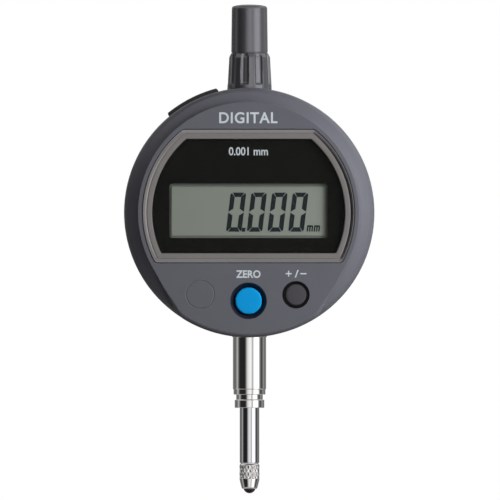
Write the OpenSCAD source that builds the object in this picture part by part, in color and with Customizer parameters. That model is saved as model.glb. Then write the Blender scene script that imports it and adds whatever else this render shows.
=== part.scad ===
// Digital dial indicator with an 8 mm stem.
// Frame: origin at the middle of the stem's clamping cylinder, +Z up the
// spindle axis, the display faces -Y, +X to the right of the display.

/* [Body] */
// Outer radius of the round case
body_r = 30; // [30:0.1:30.4]
// Distance from the spindle axis to the display face
face_depth = 14.5; // [14.5:0.1:14.8]
// Distance from the spindle axis to the flat back
back_depth = 9.5; // [9.5:0.1:10]
// Radius of the raised round face inside the sloping rim
face_r = 26.7; // [26.6:0.1:27]
// Height from the middle of the stem to the middle of the case
body_z = 36.25; // [36.25:0.05:36.5]

/* [Display] */
// Outer radius of the metal frame around the window
frame_r = 25.4; // [25.3:0.05:25.5]
// Height of the frame's flat top edge over the middle of the case
frame_top = 19.9; // [19.7:0.1:20]
// Depth of the frame's flat lower edge under the middle of the case
frame_bottom = 12; // [11.9:0.1:12.1]
// Half width of the opening over the liquid crystal panel
lcd_half = 19; // [18.5:0.1:19]
// Height of one digit
digit_h = 9.4; // [8:0.1:9.6]
// Number of digits
digit_count = 4; // [3:1:4]

/* [Stem and spindle] */
// Radius of the clamping stem
stem_r = 4; // [4:0.01:4.05]
// Radius of the sliding spindle
spindle_r = 2.35; // [2.33:0.01:2.36]
// Radial running clearance of the spindle in its bushes
run_gap = 0.03; // [0.02:0.01:0.05]
// Length of travel of the spindle
travel = 12.7; // [10:0.1:12.7]
// Radius of the hard ball at the contact point
ball_r = 1.5; // [1.4:0.05:1.5]

/* [Controls] */
// Radius of the origin button
button_r = 3.175; // [3.1:0.025:3.2]
// Radius of the sign button
small_button_r = 2.55; // [2.4:0.05:2.6]
// Number of grip flutes on the spindle cap
cap_flutes = 9; // [6:1:10]

/* [Hidden] */

$fn = 96;
eps = 0.01;
fy = -face_depth;          // plane of the display face
by = back_depth;           // plane of the flat back
split_y = 6.3;             // joint between front case and rear cover
inner_y = fy + 2.5;        // inside of the face wall
case_in_r = body_r - 1.8;  // inside radius of the case
rim_r = body_r - 0.8;      // where the sloping rim meets the rounded edge
pad_y = 0.02;
button_at = [0, -21.2];
sign_at = [11.4, -19.75];
blank_at = [-11.6, -19.65];
post_at = [for (a = [62, 120, 240, 298]) [24 * sin(a), 24 * cos(a)]];
cover_at = [for (a = [50, 138, 222, 310]) [26.2 * sin(a), 26.2 * cos(a)]];
lug_at = [for (a = [75, 285]) [26.2 * sin(a), 26.2 * cos(a)]];
port_a = -27;              // clock angle of the output socket on the rim
cell_at = [-15.5, -8.5];   // middle of the battery, seen from the front
lug_angles = [80, 200, 320]; // bayonet lugs of the battery lid when locked
lid_turn = 30;             // turn that frees the battery lid
sensor_hole_at = [[9.7, 6.8], [-9.7, 6.8]];
holder_z = -10;            // middle of the scale holder at rest

// Everything is drawn about the middle of the case, then raised to the frame.
module body() { translate([0, 0, body_z]) children(); }
// A round bar along Y, from y0 to y1, about the point p = [x, z].
module bar_y(r, y0, y1, p = [0, 0]) {
    translate([p[0], y0, p[1]]) rotate([-90, 0, 0]) cylinder(r = r, h = y1 - y0);
}
module cone_y(r0, r1, y0, y1, p = [0, 0]) {
    translate([p[0], y0, p[1]]) rotate([-90, 0, 0]) cylinder(r1 = r0, r2 = r1, h = y1 - y0);
}
// A plate from y0 to y1 with the outline given as [x, z].
module plate_y(y0, y1) { translate([0, y1, 0]) rotate([90, 0, 0]) linear_extrude(height = y1 - y0) children(); }
// A turned form about Y from [radius, y] points.
module turn_y() { rotate([90, 0, 0]) rotate_extrude($fn = 180) mirror([0, 1, 0]) children(); }
module box(lo, hi) { translate(lo) cube(hi - lo); }
module bar_z(r, z0, z1) { translate([0, 0, z0]) cylinder(r = r, h = z1 - z0); }
module tube_z(ro, ri, z0, z1) { difference() { bar_z(ro, z0, z1); bar_z(ri, z0 - 1, z1 + 1); } }
// A round outline of radius r, cut flat at zt above and zb below.
module cut_round(r, zt, zb) { intersection() { circle(r = r, $fn = 180); translate([-r - 1, zb]) square([2 * r + 2, zt - zb]); } }
// Pan-head screw along Y: the head sits on plane y, the shank runs towards dir.
module screw_y(p, y, dir, head_r, head_h, shank_r, shank_l) {
    translate([p[0], y, p[1]]) rotate([dir > 0 ? -90 : 90, 0, 0]) difference() {
        union() {
            translate([0, 0, -head_h]) cylinder(r = head_r, h = head_h);
            translate([0, 0, -eps]) cylinder(r = shank_r, h = shank_l);
        }
        for (a = [0, 90]) rotate([0, 0, a]) translate([-head_r * 0.62, -head_r * 0.13, -head_h - 1]) cube([head_r * 1.24, head_r * 0.26, 1 + head_h * 0.55]);
    }
}
// Places its children on the rim at the socket: local +Z points out of the rim.
module at_port() { rotate([0, port_a, 0]) children(); }

// Outline of the raised face: round above, running out to the rim below.
face_outline = concat(
    [for (a = [-119:7:119]) [face_r * sin(a), face_r * cos(a)]],
    [[20.15, -18.98], [18.4, -21.9], [14.9, -25.9], [14, -31], [-14, -31], [-14.9, -25.9], [-18.4, -21.9], [-20.15, -18.98]]);
// Cove of the rim, from the foot of the raised face to the rounded edge.
cove = [for (t = [0:0.2:1]) [face_r - 0.2 + (rim_r - face_r + 0.2) * t, fy + 1.9 * pow(t, 0.55)]];
module case_skin() {
    turn_y() polygon(concat([[0, split_y], [body_r, split_y]],
        [for (a = [0:15:75]) [rim_r + 0.8 * cos(a), fy + 1.9 + 0.75 - 0.75 * sin(a)]],
        [for (i = [5:-1:0]) cove[i]], [[face_r - 0.2, fy + 1], [0, fy + 1]]));
    intersection() {
        turn_y() polygon(concat([[0, fy + 4], [body_r - 0.02, fy + 4]],
            [for (a = [0:15:90]) [body_r - 1.02 + cos(a), fy + 1 - sin(a)]], [[0, fy]]));
        plate_y(fy - 1, fy + 3.5) polygon(face_outline);
    }
}

module front_case() color([0.37, 0.37, 0.40]) body() difference() {
    union() {
        difference() {
            case_skin();
            bar_y(case_in_r, inner_y, split_y + 1);
        }
        for (p = post_at) bar_y(2.2, inner_y - eps, -8.5, p);
        intersection() {
            bar_y(body_r - 1, -6.5, split_y);
            union() {
                for (p = cover_at) bar_y(2.4, -6.5, split_y, p);
                for (p = lug_at) bar_y(2.4, -6.5, 4, p);
            }
        }
    }
    plate_y(fy - 1, -13) cut_round(frame_r + 0.05, frame_top + 0.05, -frame_bottom - 0.05);
    plate_y(-14, inner_y + 1) cut_round(22.3, 16.8, -8.8);
    cone_y(4.3, 3.3, fy - 0.15, fy + 1.2, button_at);
    bar_y(button_r + 0.125, fy, inner_y + 1, button_at);
    bar_y(3.175, fy - 1, fy + 1.4, sign_at);
    bar_y(small_button_r + 0.1, fy, inner_y + 1, sign_at);
    difference() {
        bar_y(3.45, fy - 1, fy + 0.12, blank_at);
        bar_y(3.25, fy - 2, fy + 1, blank_at);
    }
    bar_z(stem_r + 0.25, -32, -24);
    bar_z(3.95, 24, 34);
    bar_z(5.8, 29.4, 34);
    at_port() box([-6.2, -7.7, 25], [6.2, -2.9, 34]);
    for (p = post_at) bar_y(0.8, -11.2, -8, p);
    for (p = cover_at) bar_y(0.85, -1, split_y + 1, p);
    for (p = lug_at) bar_y(0.85, -2, 5, p);
}

module rear_cover() color([0.36, 0.36, 0.39]) body() difference() {
    union() {
        turn_y() polygon([[0, 7.7], [case_in_r - 1.5, 7.7], [case_in_r - 1.5, split_y - 1.2], [case_in_r - 0.15, split_y - 1.2],
            [case_in_r - 0.15, split_y + 0.02], [body_r, split_y + 0.02], [body_r, by - 1], [body_r - 0.3, by - 0.3], [body_r - 1, by], [0, by]]);
        bar_y(7.2, 1.5, 8, cell_at);
    }
    // Room for the case's bosses inside the locating lip.
    for (p = cover_at) bar_y(2.8, 2, split_y + 0.25, p);
    for (p = lug_at) bar_y(2.8, 2, 7.25, p);
    for (p = cover_at) { bar_y(1.15, 5, by + 1, p); bar_y(2.1, by - 1.5, by + 1, p); }
    bar_y(6.3, 2.3, by + 1, cell_at);
    bar_y(7.6, by - 1.25, by + 1, cell_at);
    // Bayonet groove for the lid's lugs, with its three entry slots.
    bar_y(8.4, by - 1.25, by - 0.55, cell_at);
    for (a = lug_angles) translate([cell_at[0], 0, cell_at[1]]) rotate([0, a + lid_turn, 0]) box([-1.7, by - 0.9, 5], [1.7, by + 1, 8.12]);
    difference() { bar_y(7.15, 7.8, by, cell_at); bar_y(6.55, 7, by + 1, cell_at); }
    bar_y(1.8, 1, 3, cell_at);
    box([cell_at[0] + 5.5, 1, cell_at[1] - 1.2], [cell_at[0] + 6.7, 3, cell_at[1] + 1.2]);
    // Gasket groove in the face of the flange.
    turn_y() polygon([[28.6, split_y - 1], [29.4, split_y - 1], [29.4, split_y + 0.6], [28.6, split_y + 0.6]]);
}

module cover_screws() color([0.62, 0.63, 0.65]) body()
    for (p = cover_at) screw_y(p, by - 1.5, -1, 1.9, 1.3, 0.84, 8.5);

module case_gasket() color([0.1, 0.1, 0.1]) body()
    turn_y() polygon([[28.65, split_y + 0.01], [29.35, split_y + 0.01], [29.35, split_y + 0.55], [28.65, split_y + 0.55]]);

module bezel_frame() color([0.5, 0.49, 0.48]) body() difference() {
    union() {
        plate_y(fy + 0.35, -13.02) cut_round(frame_r, frame_top, -frame_bottom);
        // Raised outer bead and the bevel falling towards the window.
        plate_y(fy + 0.1, fy + 0.36) cut_round(frame_r - 0.15, frame_top - 0.15, -frame_bottom + 0.15);
        plate_y(fy - 0.15, fy + 0.11) difference() {
            cut_round(frame_r - 0.3, frame_top - 0.3, -frame_bottom + 0.3);
            cut_round(frame_r - 0.9, frame_top - 0.9, -frame_bottom + 0.9);
        }
    }
    plate_y(fy - 1, -12) cut_round(23.1, 17.6, -9.6);
    plate_y(-14, -12) cut_round(23.72, 18.22, -10.22);
    plate_y(fy, fy + 0.3) cut_round(24, 18.5, -10.5);
}

module window_lens() color([0.12, 0.12, 0.12, 0.35]) body()
    plate_y(-13.98, -13.2) cut_round(23.68, 18.18, -10.18);

module display_mask() color([0.07, 0.07, 0.07]) body()
    plate_y(-13.18, -13.02) difference() {
        cut_round(23.6, 18.1, -10.1);
        translate([-lcd_half, -6.1]) square([2 * lcd_half, 13.1]);
    }

module lcd_panel() color([0.47, 0.49, 0.45]) body() {
    box([-19.6, -12.38, -7], [19.6, -10.62, 7.9]);
}

// One slanted seven-segment figure: w and h are its size, t the stroke.
module segment_bar(l, t) { polygon([[-l / 2 + t / 2, 0], [-l / 2 + t, t / 2], [l / 2 - t, t / 2], [l / 2 - t / 2, 0], [l / 2 - t, -t / 2], [-l / 2 + t, -t / 2]]); }
module figure(w, h, t, on) {
    k = tan(7);
    for (i = [0:6]) if (on[i] == 1) {
        c = [[w / 2, h - t / 2], [w - t / 2, h * 3 / 4], [w - t / 2, h / 4], [w / 2, t / 2], [t / 2, h / 4], [t / 2, h * 3 / 4], [w / 2, h / 2]][i];
        flat = i == 0 || i == 3 || i == 6;
        l = flat ? w : h / 2 + t / 2;
        translate([c[0] + k * (c[1] - h / 2), c[1]]) rotate(flat ? 0 : 90 - 7) segment_bar(l, t);
    }
}
module lcd_segments() color([0.14, 0.15, 0.17]) body() plate_y(-12.42, -12.38) {
    zero = [1, 1, 1, 1, 1, 1, 0];
    x0 = 15.06 - 4.98 * digit_count;
    for (i = [0:digit_count - 1]) translate([x0 + 4.98 * i, -4.6]) figure(3.72, digit_h, 1.05, zero);
    translate([-1.12, -4.18]) circle(r = 0.4, $fn = 24);
    for (i = [0:1]) translate([14.1 + 1.75 * i, -4.5]) {
        for (j = [0:2]) translate([0.6 * j, 0]) square([0.22, 1.35]);
        translate([0, 1.15]) square([1.42, 0.22]);
    }
}

module lcd_holder() color([0.1, 0.1, 0.1]) body() difference() {
    plate_y(-12.9, -8.52) cut_round(21.9, 9.2, -8.3);
    box([-19.7, -12.4, -7.1], [19.7, -8, 8]);
    box([-lcd_half, -14, -6.1], [lcd_half, -12, 7]);
}

module contact_strips() color([0.85, 0.5, 0.6]) body()
    for (z = [[-6.95, -6.1], [7, 7.85]]) box([-18, -10.6, z[0]], [18, -8.52, z[1]]);

module main_board() color([0.1, 0.35, 0.2]) body() difference() {
    plate_y(-8.48, -7.5) circle(r = 26.3, $fn = 180);
    for (p = post_at) bar_y(1, -9, -7, p);
    bar_y(0.7, -9, -7, [0, -25]);
}

module board_parts() color([0.12, 0.12, 0.13]) body() {
    box([-16, -7.48, 2], [-8, -6.5, 10]);
    box([12, -7.48, -8], [17, -6.6, -3]);
    box([-4, -7.48, 16.4], [4, -6.6, 17.97]);
    for (i = [0:4]) box([9 + 2.2 * i, -7.48, -15], [10.2 + 2.2 * i, -6.9, -12.8]);
    for (i = [0:3]) box([-18 + 2.4 * i, -7.48, 13], [-16.8 + 2.4 * i, -6.9, 14.8]);
    translate([-10, -6.6, -18]) rotate([0, 90, 0]) cylinder(r = 0.85, h = 6);
}

module board_screws() color([0.7, 0.7, 0.72]) body()
    for (p = post_at) screw_y(p, -7.48, -1, 1.6, 0.9, 0.78, 3.4);

module key_switches() color([0.15, 0.15, 0.16]) body()
    for (p = [button_at, sign_at]) {
        box([p[0] - 2.2, -10, p[1] - 2.2], [p[0] + 2.2, -8.5, p[1] + 2.2]);
        bar_y(1, -10.3, -9.9, p);
    }

module chassis() color([0.66, 0.67, 0.69]) body() difference() {
    union() {
        difference() {
            union() {
                box([-6.5, 4, -26], [6.5, 6, 26]);
                box([-6.5, -5.5, -26.5], [6.5, 6, -19.5]);
                box([-6.5, -5, 21.5], [6.5, 6, 27]);
            }
            // Stepped back for the locating lip of the rear cover.
            difference() { bar_y(40, 4.8, 7); bar_y(26.4, 4, 8); }
        }
        intersection() {
            box([-28, 4.02, 3.5], [28, 5.98, 10]);
            bar_y(26.4, 3, 7);
        }
        for (p = lug_at) bar_y(1.65, 4.02, 5.98, p);
        for (s = [-1, 1]) box([s * 9.7 - 1.5, -5, 3.8], [s * 9.7 + 1.5, 5, 9.7]);
    }
    bar_z(stem_r + 0.21, -30, -19);
    bar_z(3.82, 20, 30);
    for (p = lug_at) bar_y(1.1, 3, 7, p);
    // Slot for the guide pin.
    plate_y(3, 7) { translate([-1.5, -12.5]) square([3, 17.5]); translate([0, -12.5]) circle(r = 1.5); translate([0, 5]) circle(r = 1.5); }
    for (z = [-17, 8.5]) bar_y(0.7, 3.5, 7, [0, z]);
    for (p = sensor_hole_at) bar_y(0.7, -6, -1, p);
    for (z = [-23, 24]) bar_y(0.9, 3, 7, [0, z]);
    at_port() box([-6.3, -8, 20], [6.3, -2.8, 30]);
}

module chassis_screws() color([0.7, 0.7, 0.72]) body()
    for (p = lug_at) screw_y(p, 6, -1, 1.65, 0.9, 0.83, 7.2);

module stem() color([0.78, 0.79, 0.8]) body() difference() {
    union() {
        bar_z(stem_r + 0.2, -30, -19.6);
        bar_z(stem_r, -42.5, -29.9);
        bar_z(stem_r - 0.165, -43.8, -42.4);
        bar_z(stem_r - 0.8, -45.05, -43.7);
    }
    bar_z(3.01, -46, -19);
}

module stem_bush() color([0.72, 0.55, 0.3]) body() tube_z(3, spindle_r + run_gap, -44.9, -30);

module stem_collar() color([0.75, 0.76, 0.78]) body() difference() {
    bar_z(3.565, -47, -45.08);
    bar_z(3.02, -46.5, -45);
    bar_z(2.6, -48, -46);
}

module wiper_seal() color([0.1, 0.1, 0.1]) body() tube_z(3, spindle_r + 0.05, -46.45, -45.1);

module cap_nipple() color([0.74, 0.75, 0.76]) body() difference() {
    bar_z(3.8, 21.6, 36);
    bar_z(3.01, 21, 37);
}

module upper_bush() color([0.72, 0.55, 0.3]) body() tube_z(3, spindle_r + run_gap, 22, 30);

module set_screws() color([0.3, 0.3, 0.32]) body()
    for (s = [[-23, 4.25], [24, 3.85]]) difference() {
        bar_y(0.88, s[1], 5.95, [0, s[0]]);
        translate([0, 5, s[0]]) rotate([-90, 0, 0]) cylinder(r = 0.45, h = 2, $fn = 6);
    }

module sensor_board() color([0.1, 0.35, 0.2]) body() box([-7.5, -4.98, -1], [7.5, -4.2, 17.5]);

module sensor_bracket() color([0.7, 0.71, 0.73]) body() difference() {
    box([-11.2, -5.6, 1], [11.2, -5.02, 14]);
    for (p = sensor_hole_at) bar_y(0.95, -7, -4, p);
}

module sensor_screws() color([0.7, 0.7, 0.72]) body()
    for (p = sensor_hole_at) screw_y(p, -5.62, 1, 1.4, 0.7, 0.68, 3.6);

module sensor_ribbon() color([0.75, 0.5, 0.2]) body() {
    translate([-3, -6.16, 18]) rotate([90, 0, 90]) linear_extrude(height = 6) difference() {
        circle(r = 1.32, $fn = 48);
        circle(r = 1.17, $fn = 48);
        translate([-2, -4]) square([4, 4]);
    }
    box([-3, -4.99, 17.5], [3, -4.84, 18.01]);
}

module guide_plate() color([0.6, 0.6, 0.62]) body() difference() {
    box([-4.5, 6.01, -19.5], [4.5, 6.7, 11]);
    plate_y(5.5, 7) { translate([-1.03, -12.5]) square([2.06, 17.5]); translate([0, -12.5]) circle(r = 1.03); translate([0, 5]) circle(r = 1.03); }
    for (z = [-17, 8.5]) bar_y(0.9, 5, 8, [0, z]);
}

module guide_screws() color([0.7, 0.7, 0.72]) body()
    for (z = [-17, 8.5]) screw_y([0, z], 6.72, -1, 1.5, 0.7, 0.68, 2.4);

module stop_buffer() color([0.1, 0.1, 0.1]) body() tube_z(4, 2.9, -19.55, -16.1);

// Compression spring between the scale holder and the upper bush.
spring_turns = 13;
spring_r = 2.8;
wire_r = 0.19;
spring_z0 = -3.95;
spring_z1 = 21.55;
spring_sides = 6;
spring_steps = 18;
function spring_t(i) = i / (spring_turns * spring_steps);
function spring_rise(t) = t < 0.08 ? t * 0.6 : t > 0.92 ? 1 - (1 - t) * 0.6 : 0.048 + (t - 0.08) * 0.904 / 0.84;
function spring_point(i, j) = let (t = spring_t(i), a = 360 * spring_turns * t, b = 360 * j / spring_sides)
    [(spring_r + wire_r * cos(b)) * cos(a), (spring_r + wire_r * cos(b)) * sin(a),
     spring_z0 + wire_r + (spring_z1 - spring_z0 - 2 * wire_r) * spring_rise(t) + wire_r * sin(b)];
module return_spring() color([0.6, 0.6, 0.62]) body() {
    n = spring_turns * spring_steps;
    m = spring_sides;
    polyhedron(points = [for (i = [0:n]) for (j = [0:m - 1]) spring_point(i, j)],
        faces = concat([[for (j = [0:m - 1]) j]], [[for (j = [m - 1:-1:0]) n * m + j]],
            [for (i = [0:n - 1]) for (j = [0:m - 1]) [i * m + j, (i + 1) * m + j, (i + 1) * m + (j + 1) % m, i * m + (j + 1) % m]]), convexity = 10);
}

module battery_cell() color([0.8, 0.8, 0.8]) body() {
    bar_y(5.2, 2.72, 3.2, cell_at);
    bar_y(5.8, 3.2, 8.1, cell_at);
}

module battery_contacts() color([0.8, 0.68, 0.4]) body() {
    box([cell_at[0] - 3, 2.4, cell_at[1] - 1], [cell_at[0] + 3, 2.65, cell_at[1] + 1]);
    box([cell_at[0] - 0.8, -7.46, cell_at[1] - 0.15], [cell_at[0] + 0.8, 2.45, cell_at[1] + 0.15]);
    box([cell_at[0] + 5.86, -7.46, cell_at[1] - 1], [cell_at[0] + 6.14, 7, cell_at[1] + 1]);
}

module data_socket() color([0.1, 0.1, 0.1]) body() at_port() difference() {
    box([-6, -7.48, 23.5], [6, -3.1, 29.2]);
    box([-5.2, -6.8, 24.3], [5.2, -3.8, 30]);
}

module socket_pins() color([0.85, 0.7, 0.35]) body() at_port()
    for (i = [0:4]) for (y = [-6, -4.6]) translate([-4 + 2 * i, y, 24.32]) translate([-0.25, -0.25, 0]) cube([0.5, 0.5, 2.7]);

module spindle() color([0.8, 0.81, 0.82]) body() difference() {
    bar_z(spindle_r, -60.3, 34);
    bar_z(1.12, -61, -54);
    translate([0, 0, 31.2]) difference() { cylinder(r = 4, h = 0.64); cylinder(r = 1.7, h = 0.64); }
}

module contact_point() color([0.75, 0.76, 0.77]) body() difference() {
    union() {
        bar_z(1.1, -60.5, -55);
        bar_z(2.2, -60.55, -60.32);
        translate([0, 0, -60.85]) cylinder(r1 = 2.4, r2 = 2.2, h = 0.31);
        bar_z(2.4, -64.1, -60.84);
        translate([0, 0, -66.5]) cylinder(r1 = 1.85, r2 = 2.4, h = 2.41);
    }
    translate([0, 0, -67.6 + ball_r]) sphere(r = ball_r + 0.005);
}

module contact_ball() color([0.2, 0.2, 0.2]) body() translate([0, 0, -67.6 + ball_r]) sphere(r = ball_r);

module scale_holder() color([0.7, 0.71, 0.73]) body() difference() {
    box([-4.5, -3.18, holder_z - 6], [4.5, 3.2, holder_z + 6]);
    bar_z(spindle_r + 0.01, -20, 0);
    bar_y(1.01, 2.2, 4, [0, holder_z - 2.5]);
    box([2, -0.25, holder_z - 7], [5, 0.25, holder_z + 7]);
    translate([3.2, -4, holder_z + 2]) rotate([-90, 0, 0]) cylinder(r = 0.72, h = 8);
}

module scale_plate() color([0.75, 0.62, 0.3]) body() box([-4.5, -4, -16], [4.5, -3.2, 8.3]);

module guide_pin() color([0.75, 0.75, 0.77]) body() bar_y(1, 2.4, 7.2, [0, holder_z - 2.5]);

module holder_screw() color([0.7, 0.7, 0.72]) body() screw_y([3.2, holder_z + 2], 3.21, -1, 1.2, 0.55, 0.7, 5.5);

module spindle_clip() color([0.55, 0.55, 0.57]) body() difference() {
    tube_z(2.9, 1.72, 31.22, 31.82);
    box([-1.3, -4, 30], [1.3, 0, 33]);
}

module origin_button() color([0.08, 0.55, 0.8]) body() {
    bar_y(button_r, fy + 0.35, -11.8, button_at);
    cone_y(button_r - 0.35, button_r, fy + 0.15, fy + 0.36, button_at);
    bar_y(4, -11.9, -11.3, button_at);
    bar_y(1.5, -11.4, -10.95, button_at);
}

module sign_button() color([0.27, 0.27, 0.28]) body() {
    bar_y(small_button_r, fy + 0.45, -11.8, sign_at);
    cone_y(small_button_r - 0.35, small_button_r, fy + 0.25, fy + 0.46, sign_at);
    bar_y(3.4, -11.9, -11.3, sign_at);
    bar_y(1.5, -11.4, -10.95, sign_at);
}

module spindle_cap() color([0.32, 0.32, 0.34]) body() difference() {
    rotate_extrude($fn = 120) polygon([[0, 29.6], [5.3, 29.6], [4.9, 37.4], [4.4, 38.6], [4.25, 49.1], [4, 49.7], [3.5, 49.95], [2.8, 50], [0, 50]]);
    bar_z(3.15, 29, 48.8);
    bar_z(3.85, 29, 36.3);
    for (i = [0:cap_flutes - 1]) rotate([0, 0, -90 + 27.5 + 360 / cap_flutes * i]) {
        translate([5.55, 0, 31.9]) rotate([0, -2.9, 0]) {
            cylinder(r = 1.05, h = 8);
            sphere(r = 1.05, $fn = 32);
        }
    }
}

module socket_cap() color([0.07, 0.07, 0.07]) body() {
    at_port() difference() {
        intersection() {
            bar_y(body_r + 0.9, -8.4, -2.2);
            box([-6.7, -9, 20], [6.7, 0, 32]);
        }
        bar_y(body_r + 0.03, -9, 0);
    }
    at_port() box([-5, -6.6, 27.6], [5, -4, body_r + 0.3]);
}

module battery_lid() color([0.33, 0.33, 0.36]) body() difference() {
    union() {
        bar_y(7.45, by - 1.2, by - 0.05, cell_at);
        intersection() {
            bar_y(8.2, by - 1.19, by - 0.65, cell_at);
            for (a = lug_angles) translate([cell_at[0], 0, cell_at[1]]) rotate([0, a, 0]) box([-1.4, by - 3, 5], [1.4, by, 9]);
        }
    }
    // Coin slot.
    translate([cell_at[0], by, cell_at[1]]) rotate([0, -35, 0]) cube([10, 1.3, 1.5], center = true);
}

module lid_seal() color([0.1, 0.1, 0.1]) body() difference() {
    bar_y(7.1, 7.82, by - 1.22, cell_at);
    bar_y(6.6, 7, by, cell_at);
}

front_case();
rear_cover();
cover_screws();
case_gasket();
bezel_frame();
window_lens();
display_mask();
lcd_panel();
lcd_segments();
lcd_holder();
contact_strips();
main_board();
board_parts();
board_screws();
key_switches();
chassis();
chassis_screws();
stem();
stem_bush();
stem_collar();
wiper_seal();
cap_nipple();
upper_bush();
set_screws();
sensor_board();
sensor_bracket();
sensor_screws();
sensor_ribbon();
guide_plate();
guide_screws();
stop_buffer();
return_spring();
battery_cell();
battery_contacts();
data_socket();
socket_pins();
spindle();
contact_point();
contact_ball();
scale_holder();
scale_plate();
guide_pin();
holder_screw();
spindle_clip();
origin_button();
sign_button();
spindle_cap();
socket_cap();
battery_lid();
lid_seal();
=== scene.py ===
import math

import bmesh
import bpy
from mathutils import Matrix, Vector


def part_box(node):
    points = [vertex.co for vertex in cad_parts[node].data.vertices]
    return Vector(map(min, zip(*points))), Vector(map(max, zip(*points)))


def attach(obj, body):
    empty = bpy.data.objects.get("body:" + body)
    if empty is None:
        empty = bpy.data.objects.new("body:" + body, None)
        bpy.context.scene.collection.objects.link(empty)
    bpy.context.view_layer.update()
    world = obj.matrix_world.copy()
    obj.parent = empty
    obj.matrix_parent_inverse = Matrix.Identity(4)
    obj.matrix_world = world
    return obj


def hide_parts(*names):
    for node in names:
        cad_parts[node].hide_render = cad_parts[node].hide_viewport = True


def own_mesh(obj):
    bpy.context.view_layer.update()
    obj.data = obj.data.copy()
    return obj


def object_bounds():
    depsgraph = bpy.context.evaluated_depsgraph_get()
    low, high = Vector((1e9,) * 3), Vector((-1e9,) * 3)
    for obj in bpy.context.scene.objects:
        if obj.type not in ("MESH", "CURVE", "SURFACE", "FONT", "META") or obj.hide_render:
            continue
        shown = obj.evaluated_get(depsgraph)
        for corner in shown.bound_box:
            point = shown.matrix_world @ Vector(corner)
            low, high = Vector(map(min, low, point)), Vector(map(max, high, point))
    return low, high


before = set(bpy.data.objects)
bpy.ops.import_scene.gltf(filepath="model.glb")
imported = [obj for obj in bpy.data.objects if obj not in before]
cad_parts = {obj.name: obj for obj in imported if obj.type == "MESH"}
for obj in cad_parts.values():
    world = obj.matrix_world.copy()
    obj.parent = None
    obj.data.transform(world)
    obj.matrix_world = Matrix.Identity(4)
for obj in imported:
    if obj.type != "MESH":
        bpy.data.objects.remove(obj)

cad_lo, cad_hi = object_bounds()

# All shapes below are written in millimetres about the middle of the case:
# x to the right of the display, y from the display (-) to the back (+), z up.
MM = 0.001
_lo, _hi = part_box("front_case")
ZC = (_lo.z + _hi.z) / 2
FY = -14.5                                  # plane of the display face
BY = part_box("rear_cover")[1].y / MM         # plane of the flat back
SPLIT = 6.3
pi, sin, cos, tan, sqrt, radians = math.pi, math.sin, math.cos, math.tan, math.sqrt, math.radians
scene = bpy.context.scene


# ---------------------------------------------------------------- mesh tools
def link(ob):
    scene.collection.objects.link(ob)
    return ob


def tidy(ob, sharp=40.0, merge=2e-7):
    bm = bmesh.new()
    bm.from_mesh(ob.data)
    bmesh.ops.remove_doubles(bm, verts=bm.verts, dist=merge)
    bmesh.ops.dissolve_degenerate(bm, dist=merge, edges=bm.edges)
    bmesh.ops.recalc_face_normals(bm, faces=bm.faces)
    lim = radians(sharp)
    for f in bm.faces:
        f.smooth = True
    for e in bm.edges:
        e.smooth = not (len(e.link_faces) == 2 and e.calc_face_angle(0.0) > lim)
    bm.to_mesh(ob.data)
    bm.free()
    ob.data.update()
    return ob


def raw(name, verts, faces):
    me = bpy.data.meshes.new(name)
    me.from_pydata([(x * MM, y * MM, z * MM + ZC) for x, y, z in verts], [], faces)
    return link(bpy.data.objects.new(name, me))


def build(name, verts, faces, sharp=40.0):
    return tidy(raw(name, verts, faces), sharp)


def rnd(pts, seg=5, closed=False):
    """Corner points (a, b[, radius]) with the given corners rounded."""
    out, n = [], len(pts)
    for i, p in enumerate(pts):
        r = p[2] if len(p) > 2 else 0.0
        if r <= 0 or (not closed and i in (0, n - 1)):
            out.append((p[0], p[1]))
            continue
        q, a, b = Vector(p[:2]), Vector(pts[i - 1][:2]), Vector(pts[(i + 1) % n][:2])
        u, v = (a - q), (b - q)
        lu, lv = u.length, v.length
        u.normalize(), v.normalize()
        ang = u.angle(v)
        d = min(r / tan(ang / 2), lu * 0.499, lv * 0.499)
        rr = d * tan(ang / 2)
        c = q + (u + v).normalized() * (rr / sin(ang / 2))
        s, e = q + u * d - c, q + v * d - c
        tot = s.angle(e)
        sg = 1.0 if s.x * e.y - s.y * e.x > 0 else -1.0
        for k in range(seg + 1):
            t = sg * tot * k / seg
            out.append((c.x + s.x * cos(t) - s.y * sin(t), c.y + s.x * sin(t) + s.y * cos(t)))
    return out


def lathe_data(prof, axis="z", c=(0.0, 0.0), n=96, loop=False, start=0.0):
    verts, faces, rings = [], [], []

    def put(u, v, h):
        verts.append((c[0] + u, c[1] + v, h) if axis == "z" else (c[0] + u, h, c[1] + v))
        return len(verts) - 1

    for r, h in prof:
        if r < 1e-6:
            rings.append([put(0, 0, h)])
        else:
            rings.append([put(r * cos(2 * pi * i / n + start), r * sin(2 * pi * i / n + start), h) for i in range(n)])
    for a, b in list(zip(rings, rings[1:])) + ([(rings[-1], rings[0])] if loop else []):
        for i in range(n):
            j = (i + 1) % n
            if len(a) == 1 and len(b) > 1:
                faces.append((a[0], b[i], b[j]))
            elif len(b) == 1 and len(a) > 1:
                faces.append((a[i], b[0], a[j]))
            elif len(a) > 1:
                faces.append((a[i], b[i], b[j], a[j]))
    if not loop:
        for ring, flip in ((rings[0], 1), (rings[-1], 0)):
            if len(ring) > 1:
                faces.append(tuple(reversed(ring)) if flip else tuple(ring))
    return verts, faces


def lathe(name, prof, axis="z", c=(0.0, 0.0), n=96, loop=False, sharp=40.0, start=0.0):
    v, f = lathe_data(prof, axis, c, n, loop, start)
    return build(name, v, f, sharp)


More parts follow.
